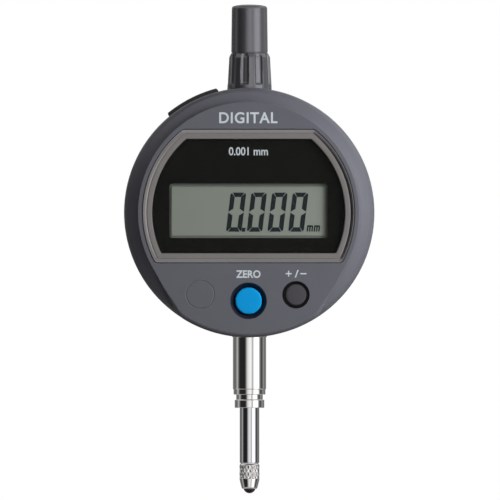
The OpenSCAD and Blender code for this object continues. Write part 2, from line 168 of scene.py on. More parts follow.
def loft_data(loops, ring=False):
    """Skin over loops of [x, y, z] points with equal counts; ring joins the last loop to the first."""
    verts, faces, n = [], [], len(loops[0])
    for lp in loops:
        verts += [tuple(p) for p in lp]
    m = len(loops)
    for k in range(m if ring else m - 1):
        a, b = k * n, ((k + 1) % m) * n
        for i in range(n):
            j = (i + 1) % n
            faces.append((a + i, b + i, b + j, a + j))
    if not ring:
        faces.append(tuple(range(n - 1, -1, -1)))
        faces.append(tuple((m - 1) * n + i for i in range(n)))
    return verts, faces


def loft(name, loops, ring=False, sharp=40.0):
    v, f = loft_data(loops, ring)
    return build(name, v, f, sharp)


def dee(r, zt, zb, f, na=60, nf=8, nl=30):
    """A round outline cut flat above and below, with rounded corners, as [x, z]."""
    pts = []

    def corner(z, s):
        zc = z - s * f
        xc = sqrt(max((r - f) ** 2 - zc * zc, 1e-9))
        return xc, zc, math.atan2(zc, xc)

    xt, ct, pt = corner(zt, 1)
    xb, cb, pb = corner(zb, -1)
    for i in range(na):
        a = pb + (pt - pb) * i / na
        pts.append((r * cos(a), r * sin(a)))
    for i in range(nf):
        a = pt + (pi / 2 - pt) * i / nf
        pts.append((xt + f * cos(a), ct + f * sin(a)))
    for i in range(nl):
        pts.append((xt * (1 - 2 * i / nl), zt))
    for i in range(nf):
        a = pi / 2 + (pi / 2 - pt) * i / nf
        pts.append((-xt + f * cos(a), ct + f * sin(a)))
    for i in range(na):
        a = pi - pt + (pt - pb) * i / na
        pts.append((r * cos(a), r * sin(a)))
    for i in range(nf):
        a = pi - pb + (pi / 2 + pb) * i / nf
        pts.append((-xb + f * cos(a), cb + f * sin(a)))
    for i in range(nl):
        pts.append((-xb * (1 - 2 * i / nl), zb))
    for i in range(nf):
        a = -pi / 2 + (pb + pi / 2) * i / nf
        pts.append((xb + f * cos(a), cb + f * sin(a)))
    return pts


def dee_loop(r, zt, zb, f, o, y):
    return [(x, y, z) for x, z in dee(r + o, zt + o, zb - o, f)]


def rrect(x0, x1, z0, z1, f, nf=6):
    pts = []
    for cx, cz, a0 in ((x1 - f, z1 - f, 0), (x0 + f, z1 - f, 90), (x0 + f, z0 + f, 180), (x1 - f, z0 + f, 270)):
        for i in range(nf + 1):
            a = radians(a0 + 90 * i / nf)
            pts.append((cx + f * cos(a), cz + f * sin(a)))
    return pts


def evaluated(ob):
    dg = bpy.context.evaluated_depsgraph_get()
    return bpy.data.meshes.new_from_object(ob.evaluated_get(dg))


def drop(ob):
    me = ob.data
    bpy.data.objects.remove(ob)
    if me.users == 0:
        bpy.data.meshes.remove(me)


def boolean(ob, cutters, op="DIFFERENCE"):
    for c in cutters:
        if c.data.materials:
            for m in c.data.materials:
                if m.name not in [x.name for x in ob.data.materials if x]:
                    ob.data.materials.append(m)
        md = ob.modifiers.new("cut", "BOOLEAN")
        md.operation, md.solver, md.object = op, "EXACT", c
        md.material_mode = "TRANSFER"
        me = evaluated(ob)
        ob.modifiers.clear()
        old = ob.data
        ob.data = me
        bpy.data.meshes.remove(old)
        drop(c)
    return ob


def painted(ob, *mats):
    ob.data.materials.clear()
    for m in mats:
        ob.data.materials.append(m)
    return ob


def crisp(ob):
    """Weighted normals, so that flat faces beside rounded edges shade flat."""
    md = ob.modifiers.new("normals", "WEIGHTED_NORMAL")
    md.keep_sharp = True
    md.weight = 60
    return ob


def join(obs, name):
    """Several meshes as one object."""
    me = bpy.data.meshes.new(name)
    bm = bmesh.new()
    mats = []
    for o in obs:
        idx = []
        for m in o.data.materials:
            if m not in mats:
                mats.append(m)
            idx.append(mats.index(m))
        n0 = len(bm.faces)
        bm.from_mesh(o.data)
        bm.faces.ensure_lookup_table()
        for f in bm.faces[n0:]:
            f.material_index = idx[f.material_index] if idx else 0
    bm.to_mesh(me)
    bm.free()
    for m in mats:
        me.materials.append(m)
    for o in obs:
        drop(o)
    return link(bpy.data.objects.new(name, me))


def turned(ob, angle, centre):
    """The mesh of ob turned about +Y through [x, z] by a clock angle in degrees."""
    c = Vector((centre[0] * MM, 0, centre[1] * MM + ZC))
    ob.data.transform(Matrix.Translation(c) @ Matrix.Rotation(radians(angle), 4, "Y") @ Matrix.Translation(-c))
    return ob


def shown(ob, body, nodes, slot=None, *mats, normals=True):
    if mats:
        painted(ob, *mats)
    if normals:
        crisp(ob)
    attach(ob, body)
    if nodes:
        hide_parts(*nodes)
    return ob


# ----------------------------------------------------------------- materials
def lin(c):
    c = c / 255
    return c / 12.92 if c <= 0.04045 else ((c + 0.055) / 1.055) ** 2.4


def rgb(r, g, b, k=1.0):
    return (lin(r) * k, lin(g) * k, lin(b) * k, 1)


class Nodes:
    def __init__(self, name):
        self.m = bpy.data.materials.new(name)
        self.m.use_nodes = True
        self.t = self.m.node_tree
        self.p = self.t.nodes["Principled BSDF"]
        self.co = self.t.nodes.new("ShaderNodeTexCoord").outputs["Object"]

    def new(self, kind, **props):
        n = self.t.nodes.new(kind)
        for k, v in props.items():
            setattr(n, k, v)
        return n

    def wire(self, a, b):
        self.t.links.new(a, b)

    def noise(self, scale, detail=3.0, rough=0.5, stretch=None, vector=None):
        n = self.new("ShaderNodeTexNoise")
        n.inputs["Scale"].default_value = scale
        n.inputs["Detail"].default_value = detail
        n.inputs["Roughness"].default_value = rough
        v = vector or self.co
        if stretch:
            mp = self.new("ShaderNodeMapping")
            mp.inputs["Scale"].default_value = stretch
            self.wire(v, mp.inputs["Vector"])
            v = mp.outputs["Vector"]
        self.wire(v, n.inputs["Vector"])
        return n.outputs["Fac"]

    def remap(self, src, lo, hi, a=0.3, b=0.7):
        n = self.new("ShaderNodeMapRange")
        n.inputs["From Min"].default_value = a
        n.inputs["From Max"].default_value = b
        n.inputs["To Min"].default_value = lo
        n.inputs["To Max"].default_value = hi
        self.wire(src, n.inputs["Value"])
        return n.outputs["Result"]

    def mix(self, fac, a, b):
        n = self.new("ShaderNodeMix", data_type="RGBA")
        self.wire(fac, n.inputs["Factor"])
        for sock, v in ((n.inputs[6], a), (n.inputs[7], b)):
            if hasattr(v, "is_linked"):
                self.wire(v, sock)
            else:
                sock.default_value = v
        return n.outputs[2]

    def bump(self, height, distance, strength=1.0, after=None):
        n = self.new("ShaderNodeBump")
        n.inputs["Strength"].default_value = strength
        n.inputs["Distance"].default_value = distance
        self.wire(height, n.inputs["Height"])
        if after:
            self.wire(after, n.inputs["Normal"])
        return n.outputs["Normal"]


def finish_mat(base, rough, metal=0.0, var=0.05, patch=160.0, grain=5000.0, dist=4e-6, drough=0.05,
               spec=0.5, coat=0.0, coat_rough=0.1, name="m", stretch=None, ior=1.5, tint=None, aniso=0.0, detail=4.0):
    """Colour mottled by a broad and a fine noise, roughness by another, and a fine bump."""
    s = Nodes(name)
    p = s.p
    broad = s.noise(patch, 3.0, stretch=None)
    fine = s.noise(grain, detail, 0.6, stretch=stretch)
    dark = tuple(c * (1 - var) for c in base[:3]) + (1,)
    light = tuple(min(1.0, c * (1 + var)) for c in (tint or base)[:3]) + (1,)
    both = s.new("ShaderNodeMath", operation="ADD")
    s.wire(s.remap(broad, 0.0, 0.5), both.inputs[0])
    s.wire(s.remap(fine, 0.0, 0.5), both.inputs[1])
    s.wire(s.mix(both.outputs[0], dark, light), p.inputs["Base Color"])
    s.wire(s.remap(s.noise(patch * 3.7, 4.0), rough - drough, rough + drough), p.inputs["Roughness"])
    s.wire(s.bump(fine, dist), p.inputs["Normal"])
    p.inputs["Metallic"].default_value = metal
    p.inputs["Specular IOR Level"].default_value = spec
    p.inputs["IOR"].default_value = ior
    p.inputs["Coat Weight"].default_value = coat
    p.inputs["Coat Roughness"].default_value = coat_rough
    p.inputs["Anisotropic"].default_value = aniso
    return s.m


case_paint = finish_mat((0.106, 0.1045, 0.124, 1), 0.42, var=0.035, grain=7000, dist=5e-6, drough=0.04, spec=0.45, name="case_paint")
cover_paint = finish_mat((0.103, 0.1015, 0.120, 1), 0.46, var=0.035, grain=6000, dist=6e-6, drough=0.04, spec=0.45, name="cover_paint")
# The two key-well colours are painted shade. The near-black one is the shadow in the gap round the sign key. The dark
# navy one is the shadow in the cone round the blue key, with a painted blue cast of light bounced from the key.
black_well_painted_shade = finish_mat((0.0050, 0.0046, 0.0056, 1), 0.5, var=0.2, grain=6000, dist=4e-6, spec=0.25, name="black_well_painted_shade")
navy_well_painted_shade = finish_mat((0.0125, 0.0135, 0.0250, 1), 0.38, var=0.15, grain=6000, dist=4e-6, spec=0.38, name="navy_well_painted_shade")
cap_mat = finish_mat((0.156, 0.155, 0.170, 1), 0.22, metal=0.65, var=0.025, patch=260, grain=4500, dist=5e-7, drough=0.03, spec=0.5, name="cap_plastic_mat")
frame_mat = finish_mat((0.208, 0.195, 0.191, 1), 0.36, metal=0.7, var=0.05, patch=300, grain=9000, dist=3e-6, drough=0.05, name="frame_metal_mat")
bead_mat = finish_mat((0.250, 0.240, 0.238, 1), 0.22, metal=1.0, var=0.04, patch=300, grain=6000, dist=6e-7, drough=0.04, name="frame_bead_mat")
mask_mat = finish_mat((0.0047, 0.0046, 0.0040, 1), 0.42, var=0.12, grain=2500, dist=2e-7, spec=0.08, name="mask_print_mat")
lcd_mat = finish_mat((0.230, 0.248, 0.214, 1), 0.5, var=0.03, patch=60, grain=9000, dist=2e-6, drough=0.05, spec=0.3, name="lcd_glass_mat", detail=2.0)
seg_mat = finish_mat((0.013, 0.017, 0.020, 1), 0.5, var=0.12, patch=700, grain=9000, dist=5e-7, spec=0.15, name="lcd_figures_mat")
print_mat = finish_mat((0.56, 0.60, 0.63, 1), 0.55, var=0.03, patch=900, grain=12000, dist=2e-6, name="print_white")
blue_mat = finish_mat((0.003, 0.305, 0.700, 1), 0.36, var=0.03, patch=420, grain=5000, dist=2e-6, drough=0.03, spec=0.18, name="button_blue_mat")
grey_key_mat = finish_mat((0.041, 0.037, 0.043, 1), 0.36, var=0.05, patch=420, grain=5000, dist=3e-6, name="button_grey_mat")
# Black plastic. The same material also paints shade into the cross slots of the cover screws.
black_and_slot_shade_mat = finish_mat((0.012, 0.012, 0.013, 1), 0.42, var=0.15, grain=5000, dist=5e-6, name="black_plastic_and_slot_shade_mat")
rubber_mat = finish_mat((0.016, 0.016, 0.017, 1), 0.7, var=0.15, grain=3000, dist=8e-6, name="black_rubber_mat")
steel_mat = finish_mat((0.86, 0.853, 0.84, 1), 0.065, metal=1.0, var=0.03, patch=120, grain=900, dist=8e-8, drough=0.015, stretch=(1, 1, 26), name="polished_steel_mat")
spindle_mat = finish_mat((0.715, 0.718, 0.745, 1), 0.04, metal=1.0, var=0.02, patch=120, grain=700, dist=4e-8, drough=0.01, stretch=(1, 1, 30), name="spindle_steel_mat")
knurl_mat = finish_mat((0.76, 0.75, 0.74, 1), 0.085, metal=1.0, var=0.03, patch=600, grain=3000, dist=1e-7, drough=0.02, name="contact_steel_mat")
carbide_mat = finish_mat((0.030, 0.030, 0.031, 1), 0.16, metal=0.6, var=0.1, patch=900, grain=9000, dist=8e-7, name="carbide_mat")
screw_mat = finish_mat((0.42, 0.42, 0.43, 1), 0.24, metal=1.0, var=0.06, patch=500, grain=3500, dist=1.5e-6, name="screw_steel_mat")
alloy_mat = finish_mat((0.42, 0.43, 0.44, 1), 0.45, metal=0.9, var=0.08, patch=200, grain=1500, dist=1.2e-5, name="cast_alloy_mat")
bronze_mat = finish_mat((0.52, 0.34, 0.15, 1), 0.32, metal=1.0, var=0.08, patch=400, grain=4000, dist=3e-6, name="bearing_bronze_mat")
spring_mat = finish_mat((0.50, 0.50, 0.52, 1), 0.22, metal=1.0, var=0.05, patch=600, grain=6000, dist=8e-7, name="spring_steel_mat")
gold_mat = finish_mat((0.75, 0.55, 0.22, 1), 0.25, metal=1.0, var=0.05, patch=600, grain=6000, dist=1e-6, name="contact_gold_mat")
board_mat = finish_mat((0.012, 0.11, 0.045, 1), 0.38, var=0.18, patch=350, grain=2500, dist=6e-6, coat=0.2, name="board_green_mat")
part_mat = finish_mat((0.018, 0.018, 0.020, 1), 0.5, var=0.2, patch=900, grain=6000, dist=4e-6, name="component_black_mat")
pink_mat = finish_mat((0.55, 0.22, 0.28, 1), 0.7, var=0.1, patch=900, grain=4000, dist=6e-6, name="contact_rubber_mat")
ribbon_mat = finish_mat((0.55, 0.28, 0.07, 1), 0.35, var=0.12, patch=900, grain=3000, dist=3e-6, name="ribbon_amber_mat")
cell_mat = finish_mat((0.55, 0.55, 0.56, 1), 0.22, metal=1.0, var=0.04, patch=300, grain=3000, dist=1e-6, name="cell_steel_mat")
scale_mat = finish_mat((0.38, 0.30, 0.14, 1), 0.15, var=0.1, patch=500, grain=5000, dist=1e-6, coat=0.4, name="scale_glass_mat")


def lens_material():
    """Clear hard-coated window: see-through, with a plain surface gloss."""
    s = Nodes("clear_lens_mat")
    p = s.p
    haze = s.noise(260, 3.0)
    s.wire(s.mix(s.remap(haze, 0, 1), (0.020, 0.020, 0.021, 1), (0.030, 0.030, 0.031, 1)), p.inputs["Base Color"])
    s.wire(s.remap(s.noise(900, 3.0), 0.05, 0.09), p.inputs["Roughness"])
    p.inputs["Specular IOR Level"].default_value = 0.5
    tr = s.new("ShaderNodeBsdfTransparent")
    mx = s.new("ShaderNodeMixShader")
    mx.inputs[0].default_value = 0.015
    s.wire(tr.outputs[0], mx.inputs[1])
    s.wire(p.outputs[0], mx.inputs[2])
    out = [n for n in s.t.nodes if n.type == "OUTPUT_MATERIAL"][0]
    s.wire(mx.outputs[0], out.inputs["Surface"])
    return s.m


lens_mat = lens_material()


# ---------------------------------------------------------------- front case
EDGE = [(29.05, 24), (29.18, 52), (29.55, 56), (29.75, 63), (29.88, 74), (29.96, 83), (30.0, 87)]


def y_low(r):
    """The sloping rim: a cove rising from the foot of the raised face, then a bevelled and rounded edge."""
    y = FY + 1.9 * max((min(r, 29.05) - 26.5) / 2.7, 0.0) ** 0.55
    for (ra, ta), (rb, tb) in zip(EDGE, EDGE[1:]):
        if r <= ra:
            break
        q = min(r, rb)
        n = 12
        for k in range(n):
            t = radians(ta + (tb - ta) * ((ra + (q - ra) * (k + 0.5) / n) - ra) / (rb - ra))
            y += tan(t) * (q - ra) / n
    return y


def face_radius(a):
    """Outline of the raised face at a clock angle: round above, running out to the rim below."""
    a = abs(a)
    if a <= 119:
        return 26.7
    if a > 158:
        return 30.0
    t = 26.7 / cos(radians(a - 119))
    k = 0.22
    r = 30 - k * math.log1p(math.exp((30 - t) / k))
    return 30.0 if r > 29.992 else r


def step01(a, b, x):
    t = min(max((x - a) / (b - a), 0.0), 1.0)
    return t * t * (3 - 2 * t)


def case_skin_mesh():
    verts, faces, cols = [], [], []
    n = 360
    for i in range(n):
        a = i * 360 / n
        s = a if a <= 180 else a - 360
        ca, sa = cos(radians(a)), sin(radians(a))
        rf = face_radius(s)
        e = 0.24 + 0.86 * step01(128, 150, abs(s))
        prof = [(rf - e * (1 - sin(radians(18 * k))), FY + e * (1 - cos(radians(18 * k)))) for k in range(6)]
        prof.append((rf, y_low(rf) - 0.02))
        r1 = max(29.05, rf)
        prof += [(rf + (r1 - rf) * (k / 9) ** 1.35, y_low(rf + (r1 - rf) * (k / 9) ** 1.35)) for k in range(0, 10)]
        prof += [(r1 + (30 - r1) * q, y_low(r1 + (30 - r1) * q)) for q in (0.06, 0.14, 0.30, 0.52, 0.70, 0.80, 0.87, 0.93, 0.97, 1.0)]
        prof += [(30, -8.0), (30, 0.0), (30, SPLIT - 0.22), (29.94, SPLIT - 0.08), (29.8, SPLIT), (28.2, SPLIT), (28.2, -11.8), (28.0, -12.0)]
        col = []
        for r, y in prof:
            col.append(len(verts))
            verts.append((r * sa, y, r * ca))
        cols.append(col)
    m = len(cols[0])
    for i in range(n):
        a, b = cols[i], cols[(i + 1) % n]
        for k in range(m - 1):
            faces.append((a[k], a[k + 1], b[k + 1], b[k]))
    faces.append(tuple(c[0] for c in cols))
    faces.append(tuple(c[-1] for c in reversed(cols)))
    return verts, faces


KEY = (0.0, -21.2)
SIGN = (11.4, -19.75)
BLANK = (-11.6, -19.65)
PORT_A = -27.0
CELL = (-15.5, -8.5)
POSTS = [(24 * sin(radians(a)), 24 * cos(radians(a))) for a in (62, 120, 240, 298)]
COVER = [(26.2 * sin(radians(a)), 26.2 * cos(radians(a))) for a in (50, 138, 222, 310)]


def cutter(v, f, mat):
    return painted(build("cut", v, f), mat)


def at_port(ob):
    """Turns a piece drawn at the top of the rim to the socket's clock angle."""
    return turned(ob, PORT_A, (0, 0))


def box_loops(x0, x1, y0, y1, z0, z1, f, lip=0.0):
    """Upright rounded box as loops from z0 to z1."""
    out = rrect(x0, x1, y0, y1, f, 4)
    return [[(x, y, z0) for x, y in out], [(x, y, z1) for x, y in out]]


case = painted(build("case_front", *case_skin_mesh(), 34), case_paint)
boss = []
for p in POSTS:
    boss.append(cutter(*lathe_data(rnd([(0, -12.3), (2.2, -12.3), (2.2, -8.5, 0.2), (0, -8.5)], 3), "y", p, 32), case_paint))
boolean(case, boss, "UNION")
cuts = []
lip = [(0.3, FY - 1.0)] + [(0.3 * (1 - sin(radians(15 * k))), FY + 0.3 * (1 - cos(radians(15 * k)))) for k in range(7)]
cuts.append(cutter(*loft_data([dee_loop(25.45, 19.95, -12.05, 1.25, o, y) for o, y in lip + [(0.0, -13.0)]]), case_paint))
cuts.append(cutter(*loft_data([dee_loop(22.3, 16.8, -8.8, 1.0, 0, y) for y in (-13.6, -11.0)]), black_and_slot_shade_mat))
# The wells round the blue key and the sign key take the painted-shade well colours on their cut faces.
cuts.append(cutter(*lathe_data([(0, FY - 1), (4.40, FY - 1), (4.40, FY), (4.345, FY + 0.015), (4.30, FY + 0.06), (4.27, FY + 0.12),
                                (3.34, FY + 1.14), (3.3, FY + 1.3), (3.3, -11.0), (0, -11.0)], "y", KEY, 96), navy_well_painted_shade))
cuts.append(cutter(*lathe_data([(0, FY - 1), (3.30, FY - 1), (3.30, FY), (3.235, FY + 0.02), (3.19, FY + 0.065), (3.175, FY + 0.13),
                                (3.175, FY + 1.4), (2.65, FY + 1.4), (2.65, -11.0), (0, -11.0)], "y", SIGN, 96), black_well_painted_shade))
cuts.append(cutter(*lathe_data([(3.18, FY - 0.5), (3.54, FY - 0.5), (3.54, FY), (3.48, FY + 0.020), (3.42, FY + 0.072), (3.37, FY + 0.090), (3.31, FY + 0.072), (3.24, FY + 0.020), (3.18, FY)],
                               "y", BLANK, 96, loop=True), case_paint))
cuts.append(cutter(*lathe_data([(0, -33), (4.55, -33), (4.55, -29.75), (4.25, -29.4), (4.25, -24), (0, -24)], "z", (0, 0), 96), case_paint))
cuts.append(cutter(*lathe_data([(0, 24), (3.95, 24), (3.95, 34), (0, 34)], "z", (0, 0), 96), case_paint))
cuts.append(cutter(*lathe_data([(0, 29.4), (5.8, 29.4), (5.8, 34), (0, 34)], "z", (0, 0), 96), case_paint))
slot_cut = cutter(*loft_data(box_loops(-6.2, 6.2, -7.7, -2.9, 25, 34, 0.6)), black_and_slot_shade_mat)
cuts.append(at_port(slot_cut))
boolean(case, cuts)
tidy(case, 34, 1e-7)
shown(case, "case", ["front_case"], "case_shell")

# ---------------------------------------------------------------- rear cover
cover = painted(lathe("case_rear", rnd([(0, 7.7), (26.7, 7.7), (26.7, 5.1), (28.05, 5.1), (28.05, SPLIT), (29.8, SPLIT), (29.94, SPLIT + 0.08), (30, SPLIT + 0.22),
                                        (30, BY, 1.0), (25.3, BY), (25.15, BY - 0.12), (24.9, BY - 0.12), (24.75, BY), (0, BY)], 8), "y", n=360, sharp=34), cover_paint)
boolean(cover, [cutter(*lathe_data(rnd([(0, 1.5), (7.2, 1.5, 0.3), (7.2, 8.2), (0, 8.2)], 3), "y", CELL, 96), cover_paint)], "UNION")
cuts = []
for p in COVER:
    cuts.append(cutter(*lathe_data([(0, 5), (1.15, 5), (1.15, BY - 1.5), (2.1, BY - 1.5), (2.1, BY - 0.14), (2.14, BY - 0.05), (2.22, BY), (2.22, BY + 1), (0, BY + 1)], "y", p, 48), cover_paint))
cuts.append(cutter(*lathe_data([(0, 2.3), (6.3, 2.3), (6.3, BY - 1.25), (8.4, BY - 1.25), (8.4, BY - 0.55), (7.6, BY - 0.55), (7.6, BY - 0.14), (7.64, BY - 0.05), (7.74, BY), (7.74, BY + 1), (0, BY + 1)], "y", CELL, 120), cover_paint))
for a in (80, 200, 320):
    b = cutter(*loft_data([[(CELL[0] + x, y, CELL[1] + z) for x, y in rrect(-1.7, 1.7, BY - 0.9, BY + 1, 0.05, 2)] for z in (5, 8.12)]), cover_paint)
    cuts.append(turned(b, a + 30, CELL))
boolean(cover, cuts)
tidy(cover, 34, 1e-7)
shown(cover, "case", ["rear_cover"], "case_shell")


def screw_data(p, y_head, head_r, head_h, shank_r, shank_l):
    """Domed pan head on plane y_head, its top towards +Y."""
    prof = [(0, y_head - shank_l), (shank_r * 0.7, y_head - shank_l), (shank_r, y_head - shank_l + 0.3), (shank_r, y_head), (head_r - 0.05, y_head), (head_r, y_head + 0.08)]
    prof += [(head_r * cos(radians(t)) if t < 90 else 0, y_head + head_h * 0.45 + head_h * 0.55 * sin(radians(t))) for t in (0, 15, 30, 45, 60, 75, 90)]
    return lathe_data(prof, "y", p, 48)


obs = []
for k, p in enumerate(COVER):
    s = painted(build("s", *screw_data(p, BY - 1.5, 1.9, 1.15, 0.84, 8.5), 50), screw_mat)
    w, q = 0.24, 1.15
    plus = [(-q, -w), (-w, -w), (-w, -q), (w, -q), (w, -w), (q, -w), (q, w), (w, w), (w, q), (-w, q), (-w, w), (-q, w)]
    c = build("c", *loft_data([[(p[0] + x * f, y, p[1] + z * f) for x, z in plus] for y, f in ((BY - 0.83, 0.72), (BY - 0.1, 1.08))]))
    # The cross slots take the black material on their cut faces: painted shade in each slot.
    boolean(s, [turned(painted(c, black_and_slot_shade_mat), 20 + 31 * k, p)])
    obs.append(s)
screws = join(obs, "case_screws")
tidy(screws, 34, 1e-7)
shown(screws, "case", ["cover_screws"], "screw_steel", normals=True)

# --------------------------------------------------------------- bezel frame
sec = [(0.0, -13.02), (0.0, -14.28), (0.004, -14.50), (0.008, -14.60), (0.02, -14.635), (0.045, -14.648), (0.08, -14.65), (0.16, -14.636), (0.30, -14.604), (0.50, -14.553), (0.70, -14.497),
       (0.80, -14.462), (0.855, -14.437), (0.90, -14.43), (0.94, -14.435), (0.98, -14.465), (1.02, -14.49), (1.08, -14.497), (1.40, -14.49), (1.85, -14.478), (2.10, -14.47),
       (2.18, -14.44), (2.24, -14.36), (2.27, -14.26), (2.285, -14.0), (1.68, -14.0), (1.68, -13.02)]
bezel = loft("window_frame", [[(x, y, z) for x, z in dee(25.4 - o, 19.9 - o, -12.0 + o, 1.2 - 0.34 * o)] for o, y in sec], ring=True, sharp=48)
shown(bezel, "case", ["bezel_frame"], "frame_metal", frame_mat, bead_mat)
_n = len(dee(25, 19, -12, 1.0))
for k in range(4, 12):
    for i in range(_n):
        bezel.data.polygons[k * _n + i].material_index = 1

lens = loft("window", [[(x, y, z) for x, z in dee(23.68 - o, 18.18 - o, -10.18 + o, 0.62)] for o, y in ((0.0, -13.2), (0.0, -13.9), (0.08, -13.98))], sharp=30)
shown(lens, "case", ["window_lens"], "clear_lens", lens_mat)


def sheet_with_hole(name, outer, inner, y0, y1):
    """A thin plate between two outlines with the same number of points."""
    n = len(outer)
    verts = [(x, y0, z) for x, z in outer] + [(x, y0, z) for x, z in inner] + [(x, y1, z) for x, z in inner] + [(x, y1, z) for x, z in outer]
    faces = []
    for k in range(4):
        a, b = k * n, ((k + 1) % 4) * n
        for i in range(n):
            j = (i + 1) % n
            faces.append((a + i, b + i, b + j, a + j))
    return build(name, verts, faces, 30)


def resampled(outline, angles):
    """Points of a star-shaped outline at the given angles about the origin."""
    out, n = [], len(outline)
    for a in angles:
        d = Vector((cos(a), sin(a)))
        best = None
        for i in range(n):
            p, q = Vector(outline[i]), Vector(outline[(i + 1) % n])
            e = q - p
            den = d.x * e.y - d.y * e.x
            if abs(den) < 1e-12:
                continue
            t = (p.x * e.y - p.y * e.x) / den
            u = (p.x * d.y - p.y * d.x) / den
            if t > 0 and -1e-9 <= u <= 1 + 1e-9 and (best is None or t > best):
                best = t
        out.append((d.x * best, d.y * best))
    return out


win = rrect(-19.0, 19.0, -6.1, 7.0, 0.75, 8)
angles = sorted(set([round(math.atan2(z, x), 7) for x, z in win] + [round(-pi + 2 * pi * i / 240, 7) for i in range(240)]))
mask = sheet_with_hole("display_print", resampled(dee(23.6, 18.1, -10.1, 0.55), angles), resampled(win, angles), -13.18, -13.02)
shown(mask, "case", ["display_mask"], "mask_print", mask_mat)

# A darker copy of the LCD glass colour for the glass outside the film. It is partly the glass's own tone and partly
# painted shade along the edges of the window opening.
edge_glass_and_shade_mat = finish_mat((0.150, 0.161, 0.142, 1), 0.45, var=0.04, patch=60, grain=9000, dist=2e-6, spec=0.3, name="lcd_border_tone_and_shade_mat")

# ------------------------------------------------------- liquid crystal panel
# The panel glass round the film takes the darker border colour, which is in part painted shade along the window edges.
lcd = loft("lcd", [[(x, y, z) for x, z in rrect(-19.6 + o, 19.6 - o, -7.0 + o, 7.9 - o, 0.2, 3)] for o, y in
                   ((0.05, -10.62), (0.0, -10.67), (0.0, -11.38), (0.05, -11.43), (0.05, -11.55), (0.0, -11.60), (0.0, -12.05), (0.06, -12.12))], sharp=30)
shown(lcd, "case", ["lcd_panel"], "lcd_glass", edge_glass_and_shade_mat)
film = loft("lcd_film", [[(x, y, z) for x, z in rrect(-18.55 + o, 18.45 - o, -5.58 + o, 6.24 - o, 0.35, 5)] for o, y in ((0.0, -12.12), (0.0, -12.34), (0.03, -12.38))], sharp=30)
shown(film, "case", [], "lcd_glass", lcd_mat)


def prism(poly, y0, y1):
    n = len(poly)
    verts = [(x, y0, z) for x, z in poly] + [(x, y1, z) for x, z in poly]
    faces = [tuple(range(n)), tuple(range(2 * n - 1, n - 1, -1))] + [(i, i + n, (i + 1) % n + n, (i + 1) % n) for i in range(n)]
    return verts, faces


DIG_W, DIG_H, STR, GAP, SLANT = 3.72, 9.4, 1.08, 0.10, tan(radians(7))
DIG_X = [-4.86 + 4.98 * i for i in range(4)]
DIG_Z = -4.6


def segments():
    w, h, t, g = DIG_W, DIG_H, STR, GAP
    mid, c = h / 2, 0.32
    up_left = [(0, mid + g), (0, h - c * 1.3), (g * 0.4, h - c), (c * 0.55, h - 0.45 * c - g * 0.6), (t, h - t - g), (t, mid + t * 0.72), (0.12, mid + g)]
    top = [(c * 0.55 + g * 0.9, h - g * 0.2), (w - c * 0.9 - g, h - g * 0.0), (w - t - g * 0.8, h - t), (t + g * 0.8, h - t)]
    out = []

    def put(poly, mx, my):
        q = [((w - x if mx else x), (h - z if my else z)) for x, z in poly]
        out.append(q)

    put([(0.0, mid + 0.10), (0.0, h - 0.52), (0.13, h - 0.22), (0.30, h - 0.16), (t, h - t - 0.02), (t, mid + 0.80)], False, False)
    put([(0.0, mid + 0.10), (0.0, h - 0.52), (0.13, h - 0.22), (0.30, h - 0.16), (t, h - t - 0.02), (t, mid + 0.80)], True, False)
    put([(0.0, mid + 0.10), (0.0, h - 0.52), (0.13, h - 0.22), (0.30, h - 0.16), (t, h - t - 0.02), (t, mid + 0.80)], False, True)
    put([(0.0, mid + 0.10), (0.0, h - 0.52), (0.13, h - 0.22), (0.30, h - 0.16), (t, h - t - 0.02), (t, mid + 0.80)], True, True)
    for my in (False, True):
        put([(0.48, h), (w - 0.48, h), (w - t - 0.06, h - t + 0.02), (t + 0.06, h - t + 0.02)], False, my)
    return out


verts, faces = [], []


def add(v, f):
    b = len(verts)
    verts.extend(v)
    faces.extend(tuple(b + i for i in q) for q in f)


def slanted(poly, x0, z0, h):
    return [(x0 + x + SLANT * (z - h / 2), z0 + z) for x, z in poly]


for x0 in DIG_X:
    for poly in segments():
        add(*prism(slanted(poly, x0, DIG_Z, DIG_H), -12.415, -12.37))
add(*prism([(x, z) for x, z in ((-1.70, -4.60), (-0.86, -4.60), (-0.72, -3.66), (-1.56, -3.66))], -12.415, -12.37))
# unit sign: two slanted m
for k in range(2):
    x0, z0, hh = 14.02 + 1.68 * k, -4.56, 1.5
    for j in range(3):
        add(*prism(slanted([(0.56 * j, 0), (0.56 * j + 0.31, 0), (0.56 * j + 0.31, 1.26 if j else 1.5), (0.56 * j, 1.26 if j else 1.5)], x0, z0, hh), -12.415, -12.37))
    add(*prism(slanted([(0.20, 1.13), (1.25, 1.13), (1.43, 1.26), (1.28, 1.5), (0.30, 1.5), (0.2, 1.38)], x0, z0, hh), -12.4155, -12.3705))
figs = build("lcd_figures_ink", verts, faces, 30)
shown(figs, "case", ["lcd_segments"], "lcd_figures", seg_mat, normals=False)


# -------------------------------------------------------------------- labels
def label(name, text, x0, x1, z0, z1, y, mat, weight=0.014, depth=0.016, spacing=1.0):
    cu = bpy.data.curves.new(name, "FONT")
    cu.body = text
    cu.size = 1.0
    cu.offset = weight
    cu.resolution_u = 6
    cu.extrude = 0.01
    cu.space_character = spacing
    ob = link(bpy.data.objects.new(name, cu))
    me = evaluated(ob)
    bpy.data.objects.remove(ob)
    bpy.data.curves.remove(cu)
    co = [v.co.copy() for v in me.vertices]
    lx, hx = min(c.x for c in co), max(c.x for c in co)
    lz, hz = min(c.y for c in co), max(c.y for c in co)
    ld, hd = min(c.z for c in co), max(c.z for c in co)
    for v, c in zip(me.vertices, co):
        x = x0 + (c.x - lx) / (hx - lx) * (x1 - x0)
        z = z0 + (c.y - lz) / (hz - lz) * (z1 - z0)
        d = (c.z - ld) / (hd - ld)
        v.co = (x * MM, (y + 0.006 - d * depth) * MM, z * MM + ZC)
    me.update()
    out = tidy(link(bpy.data.objects.new(name, me)), 40)
    return painted(out, mat)


